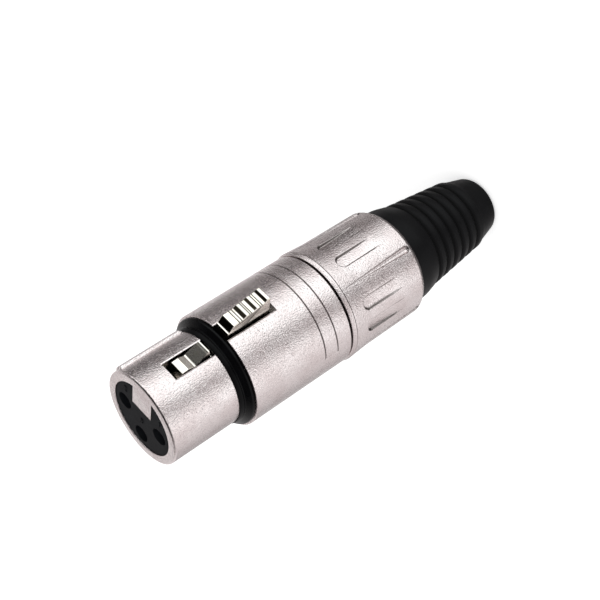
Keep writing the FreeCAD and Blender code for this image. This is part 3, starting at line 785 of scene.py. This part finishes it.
def gripShape(angle, depth, radius):
    # how deep the skin is sunk, and how much painted shade it gets there
    b = bushing
    if radius < b["edge"] - 0.1:
        return 0.0, 0.0
    sunk = dark = 0.0
    for k in range(b["groups"]):
        middle = b["firstGroup"] + k * 360 / b["groups"]
        across = math.radians((angle - middle + 180) % 360 - 180) * b["waist"]
        if abs(across) < 1.2 and b["fluteFront"] < depth:
            tail = b["fluteRear"] - b["flute"]
            if depth <= tail:
                wide = b["flute"] * (depth - b["fluteFront"]) / (tail - b["fluteFront"])
            else:
                wide = math.sqrt(max(0.0, b["flute"] ** 2 - (depth - tail) ** 2))
            lift = b["fluteSink"] * min(1, wide / b["flute"] + 0.2)
            sunk = max(sunk, math.sqrt(max(0.0, wide * wide - across * across)) - lift)
            dark = max(dark, 0.5 * edgeLine(wide - abs(across), *b["fluteLine"]))
        for side in (-1, 1):
            across = math.radians((angle - middle - side * b["pocketAngle"] + 180) % 360 - 180) * b["waist"]
            if abs(across) > b["pocketHalf"] + 0.3:
                continue
            centre = b["pocketFront"] + b["pocketHalf"]
            reach = math.hypot(across, min(0.0, depth - centre))
            share = max(0.0, depth - b["pocketFront"]) / b["pocketLength"]
            floor = b["pocketSink"] * max(0.0, 1 - share ** b["pocketFade"])
            inward = b["pocketHalf"] - reach
            sunk = max(sunk, floor * smoothStep(inward, *b["pocketWall"]))
            dark = max(dark, 0.85 * edgeLine(inward, *b["pocketLine"]) * min(1.0, floor / 0.25))
    return sunk, dark


def bushingShade(angle, depth, radius):
    # painted shade in the gap behind the barrel, behind the chamfer, along the grips' edges and where the boot
    # goes in
    b = bushing
    behind = plug["bushingFront"] + b["rimDepth"] + b["rimLine"]
    front = smoothStep(b["rimFoot"] - radius, 0.05, 0.25) if depth < plug["bushingFront"] + 0.3 else 0
    rear = smoothStep(b["edge"] - radius, 0.02, 0.2) if depth > b["seat"] - 0.1 else 0
    line = radius > b["waist"] - 0.2 and abs(depth - behind) < 0.02
    outside = depth > b["fluteFront"] and radius > b["seatRadius"] + 0.1
    grip = gripShape(angle, depth, radius + 0.5)[1] if outside else 0
    return b["soil"] * max(front, rear, 0.85 * line, grip)


def makeBushing():
    b = bushing
    front, rear = plug["bushingFront"], plug["bushingRear"]
    behind = front + b["rimDepth"]
    head = softOutline([(front, b["threadTop"]), (front, b["rimFoot"], 0.08), (behind - 0.05, b["rim"], 0.08),
                        (behind, b["rim"] - 0.01), (behind + b["rimLine"], b["rim"] - 0.07),
                        (behind + 2 * b["rimLine"], b["rim"] - 0.02),
                        (front + b["waistDepth"], b["waist"])])[:-1]
    depths = [first + gap * k for first, gap, count in b["rows"] for k in range(count)]

    def skin(depth):
        if depth < front + b["waistDepth"]:
            share = (depth - front - b["rimDepth"]) / (b["waistDepth"] - b["rimDepth"])
            return b["rim"] + (b["waist"] - b["rim"]) * share
        share = (depth - front - b["waistDepth"]) / (rear - b["tailLength"] - front - b["waistDepth"])
        return b["waist"] + (b["tail"] - b["waist"]) * share

    body = [Vector((d, skin(d))) for d in depths]
    tailPoints = softOutline([(b["tailStart"], skin(b["tailStart"])),
                              (rear - b["tailLength"], b["tail"], b["edgeRound"]),
                              (rear, b["edge"], 0.12), (rear, b["seatRadius"]),
                              (b["seat"], b["seatRadius"]), (b["seat"], b["neck"]),
                              (b["cavityEnd"], b["neck"]), (b["cavityEnd"], b["cavity"]),
                              (b["coneEnd"], b["cavity"]), (b["coneEnd"], b["coneRear"]),
                              (b["coneMouth"], b["coneFront"]), (b["coneMouth"], b["threadRoot"]),
                              (front + 0.5, b["threadRoot"])], 8)
    outline = head + body + finer(tailPoints, b["tailGap"], b["tailAbove"])
    angles = []
    for k in range(b["groups"]):
        middle = b["firstGroup"] + k * 360 / b["groups"]
        angles += [middle + 0.35 * j for j in range(-13, 14)]  # over the flute
        for side in (-1, 1):
            centre = middle + side * b["pocketAngle"]
            for edge, last in ((-1, 7), (1, 4)):  # along the pocket's edges
                angles += [centre + edge * 6.3 + 0.3 * j for j in range(-6, last)]
            angles += [centre + 1.0 * j for j in range(-4, 5)]  # over its floor
        angles += [middle + 180 / b["groups"] + 1.5 * j for j in range(-3, 4)]  # and between them
        angles += [middle + side * (6 + 1.6 * j) for side in (-1, 1) for j in range(6)]
    angles = sorted(set(round(a % 360, 2) for a in angles))
    kept = [angles[0]]
    for a in angles[1:]:
        if a - kept[-1] > 0.18:  # columns that lie closer than this are dropped
            kept.append(a)
    shell = turned("screw_bushing", outline, kept, sink=gripSink)
    thread = insideRidge("bushing_thread", b["threadRoot"], b["threadTop"], b["pitch"], front + 0.6,
                         b["coneMouth"] - 0.2)
    shell = joined([shell, thread])
    soil(shell, bushingShade)
    return finish(shell, "bushing", finishes["bushing"], "bushing")


def finer(points, gap, above):
    # more points along the outer skin, so that the flutes' ends stay round
    dense = []
    for here, after in zip(points, points[1:] + points[:1]):
        dense.append(here)
        length = (after - here).length
        if min(here.y, after.y) > above and length > gap:
            parts = math.ceil(length / gap)
            dense += [here.lerp(after, k / parts) for k in range(1, parts)]
    return dense


def insideRidge(name, root, crest, pitch, front, rear):
    # the nut's thread: the same ridge turned inwards, half a pitch away from the screw's
    piece = helicalRidge(name, root, crest, pitch, front, rear)
    piece.data.transform(Matrix.Translation((0, 0, pitch / 2)))
    return piece


boot = {
    "start": 8.35, "flange": 44.4, "flangeEnd": 45.55, "flangeRadius": 7.3, "neck": 6.55, "seat": 48.25,
    "collar": (51.8, 8.15, 6.0), "collarEnd": (53.8, 7.65, 0.5),
    "firstCrest": 55.45, "pitch": 2.03, "ribs": 6, "firstRadius": 7.45, "lastRadius": 6.32, "relief": 0.42,
    "crest": 0.4, "grooveRound": 0.22,  # half width and rounding of a rib's crest, rounding of the grooves
    "shoulder": (66.9, 5.85, 0.6), "endRadius": 4.75, "endRound": 1.4,
    "hole": 3.0, "inner": 4.6, "innerEnd": 63.0,
}


def bootRadius(depth):
    # radius over the ribs' crests
    b = boot
    share = (depth - b["firstCrest"]) / ((b["ribs"] - 1) * b["pitch"])
    return b["firstRadius"] + (b["lastRadius"] - b["firstRadius"]) * share


def bootShade(angle, depth, radius):
    # the grooves between the ribs lie in shade
    b = boot
    if not b["collarEnd"][0] < depth < b["shoulder"][0] - 0.3:
        return 0
    return smoothStep(bootRadius(depth) - radius, b["relief"] * 0.3, b["relief"])


def makeBoot():
    b = boot
    corners = [(b["flange"], b["inner"]), (b["flange"], b["flangeRadius"], 0.3),
               (b["flangeEnd"], b["flangeRadius"]), (b["flangeEnd"], b["neck"]),
               (b["seat"], b["neck"]), (b["seat"], b["start"]), b["collar"], b["collarEnd"]]
    drop = (b["firstRadius"] - b["lastRadius"]) / (b["ribs"] - 1)
    for k in range(b["ribs"]):
        crest, radius = b["firstCrest"] + k * b["pitch"], b["firstRadius"] - drop * k
        corners += [(crest - b["pitch"] / 2, radius - b["relief"] + drop / 2, b["grooveRound"]),
                    (crest - b["crest"], radius, b["crest"]),
                    (crest + b["crest"], radius - drop / 3, b["crest"])]
    corners += [b["shoulder"], (plug["length"], b["endRadius"], b["endRound"]),
                (plug["length"], b["hole"], 0.1), (b["innerEnd"], b["hole"], 0.2), (b["innerEnd"], b["inner"])]
    body = turned("cable_boot", softOutline(corners, 8), 192)
    soil(body, bootShade)
    return finish(body, "boot", finishes["boot"], "boot", sharp=50)


print("making the pieces")
makeHousing()
makeRing()
makeLatch()
makeInsert()
makeSpring()
makeBushing()
makeBoot()

solidFinishes = {"insert_rear": "insert", "collet": "collet", "ground_contact": "contact",
                 "contact_1": "contact", "contact_2": "contact", "contact_3": "contact"}
for node, name in solidFinishes.items():
    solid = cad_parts[node]
    solid.data.materials.clear()
    solid.data.materials.append(finishes[name])


studio = {
    "floorColour": (0.90, 0.90, 0.90), "floorLift": 0.45, "floorSize": 12.0,  # metres
    "sun": 1.15, "sunFrom": (-0.55, -0.65, 1.0), "sunSoftness": 40,
    "room": 0.62,  # light that matt surfaces get from all round
    # what the metal sees round the plug, as (degrees about the axis, brightness)
    "bands": [(-180, 1.25), (-171, 1.75), (-160, 1.65), (-148, 0.9), (-139, 0.1), (-126, 0.04), (-118, 0.5),
              (-109, 1.75), (-95, 1.68), (-62, 1.62), (-53, 1.05), (-45, 0.42), (-33, 0.13), (-18, 0.08),
              (-5, 0.12), (7, 0.3), (18, 0.56), (29, 0.82), (45, 0.95), (65, 0.97), (85, 0.68), (98, 0.3),
              (112, 0.56), (130, 0.74), (150, 0.8), (166, 0.98), (180, 1.25)],
    "lowBands": [(-180, 0.98), (-161, 0.95), (-149, 0.72), (-142, 0.2), (-134, 0.08), (-127, 0.8),
                 (-119, 1.65), (-95, 1.55), (-66, 1.35), (-55, 0.9), (-44, 0.3), (-30, 0.18), (-17, 0.26),
                 (-5, 0.5), (9, 0.62), (20, 0.8), (31, 0.3), (45, 0.4), (56, 0.56), (67, 0.35), (85, 0.8),
                 (103, 0.85), (115, 1.0), (127, 0.8), (150, 0.88), (165, 0.9), (180, 0.98)],
    "frontBands": [(-180, 1.5), (-171, 2.1), (-160, 2.0), (-148, 1.15), (-139, 0.15), (-127, 0.06),
                   (-118, 0.6), (-109, 1.9), (-95, 1.8), (-62, 1.8), (-54, 1.15), (-45, 0.3), (-33, 0.05),
                   (-18, 0.04), (-5, 0.05), (7, 0.1), (18, 0.2), (25, 0.5), (31, 1.2), (38, 0.9), (45, 0.7),
                   (56, 0.85), (67, 0.65), (85, 0.6), (98, 0.33), (112, 0.66), (130, 0.76), (150, 0.88),
                   (166, 1.1), (180, 1.5)],
    "middleBands": [(-180, 1.12), (-150, 1.0), (-138, 0.56), (-126, 0.5), (-118, 1.0), (-110, 1.7),
                    (-60, 1.75), (-35, 1.5), (-20, 0.5), (-8, 0.2), (15, 0.5), (30, 0.95), (100, 1.0),
                    (115, 0.85), (140, 0.8), (165, 0.95), (180, 1.12)],
    "topBands": [(-180, 0.15), (-170, 0.10), (-90, 0.05), (-20, 0.08), (0, 0.25), (30, 0.55), (63, 0.68),
                 (100, 0.7), (135, 0.55), (160, 0.3), (180, 0.15)],
    # between which heights each zone gives way to the next, from -1 straight down to 1 straight up
    "low": (-0.54, -0.50), "front": (-0.45, -0.41), "middle": (-0.30, -0.16), "top": (0.34, 0.46),
    "zenith": 0.05, "zenithFade": (0.58, 0.70),
    "ground": 0.22, "groundFade": (-0.86, -0.72),
    # colour of the walls, colour of their brightest parts, and where one gives way to the other
    "tint": (1.0, 0.967, 0.967), "brightTint": (0.96, 1.0, 1.0), "bright": (0.9, 1.5),
}


def makeStudio():
    s = studio
    world = bpy.data.worlds.new("studio")
    bpy.context.scene.world = world
    world.use_nodes = True
    bench = Bench(world.node_tree)
    towards = bench.add("ShaderNodeTexCoord", out=0)
    x, y, z = [bench.add("ShaderNodeSeparateXYZ", {}, {0: towards}, out=k) for k in range(3)]
    turn = x.math("ARCTAN2", y, x) * (0.5 / math.pi) + 0.5
    whole = (s["ground"],) * 3
    for name, fade in (("lowBands", "groundFade"), ("bands", "low"), ("frontBands", "front"),
                       ("middleBands", "middle"), ("topBands", "top")):
        stops = [((angle + 180) / 360, value) for angle, value in s[name]]
        walls = bench.add("ShaderNodeValToRGB", {"stops": stops}, {0: turn})
        whole = bench.blend(bench.step(z, *s[fade]), whole, walls)
    whole = bench.blend(bench.step(z, *s["zenithFade"]), whole, (s["zenith"],) * 3)
    tint = bench.blend(bench.step(whole, *s["bright"]), s["tint"], s["brightTint"])
    tinted = bench.add("ShaderNodeVectorMath", {"operation": "MULTIPLY"}, {0: whole, 1: tint})
    camera = bench.add("ShaderNodeLightPath", out=0)
    glossy = bench.add("ShaderNodeLightPath", out=3)
    seen = bench.blend(glossy, (s["room"],) * 3, tinted)
    colour = bench.blend(camera, seen, (1.0, 1.0, 1.0))
    background = bench.add("ShaderNodeBackground", {}, {"Color": colour, "Strength": 1.0})
    bench.add("ShaderNodeOutputWorld", {}, {"Surface": background})

    sun = bpy.data.lights.new("softbox", "SUN")
    sun.energy, sun.angle = s["sun"], math.radians(s["sunSoftness"])
    lamp = placed("softbox", sun)
    lamp.rotation_euler = Vector(s["sunFrom"]).to_track_quat("Z", "Y").to_euler()
    lamp.visible_glossy = False  # the metal mirrors the bands alone

    size = s["floorSize"] / 2
    mesh = bpy.data.meshes.new("floor")
    corners = [(-size, -size, 0), (size, -size, 0), (size, size, 0), (-size, size, 0)]
    mesh.from_pydata(corners, [], [(0, 1, 2, 3)])
    floor = placed("floor", mesh)
    floor.visible_glossy = False  # the metal sees the studio's bands, also below the floor's level
    material = bpy.data.materials.new("pale floor")
    material.use_nodes = True
    bench = Bench(material.node_tree)
    matt = bench.add("ShaderNodeBsdfDiffuse", {}, {"Color": (*s["floorColour"], 1)})
    camera = bench.add("ShaderNodeLightPath", out=0)
    lift = bench.add("ShaderNodeEmission", {}, {"Color": (1, 1, 1, 1), "Strength": camera * s["floorLift"]})
    both = bench.add("ShaderNodeAddShader", {}, {0: matt, 1: lift})
    bench.add("ShaderNodeOutputMaterial", {}, {"Surface": both})
    floor.data.materials.append(material)


view = {
    "focal": 76.56, "sensor": 36.0, "near": 0.005,  # metres
    "from": (-79.052, -153.850, 134.555),
    "right": (-0.66579, -0.11001, -0.73798), "up": (0.62374, -0.62484, -0.46958),
    "ahead": (0.40946, 0.77296, -0.48464),
}


def makeCamera():
    lens = bpy.data.cameras.new("camera")
    lens.lens, lens.sensor_width, lens.clip_start = view["focal"], view["sensor"], view["near"]
    camera = placed("camera", lens)
    right, up, back = Vector(view["right"]), Vector(view["up"]), -Vector(view["ahead"])
    turn = Matrix((right, up, back)).transposed().to_4x4()
    camera.matrix_world = Matrix.Translation(Vector(view["from"]) * mm) @ turn
    bpy.context.scene.camera = camera


makeStudio()
makeCamera()
bpy.context.scene.view_settings.view_transform = "Standard"
print("studio and camera ready")
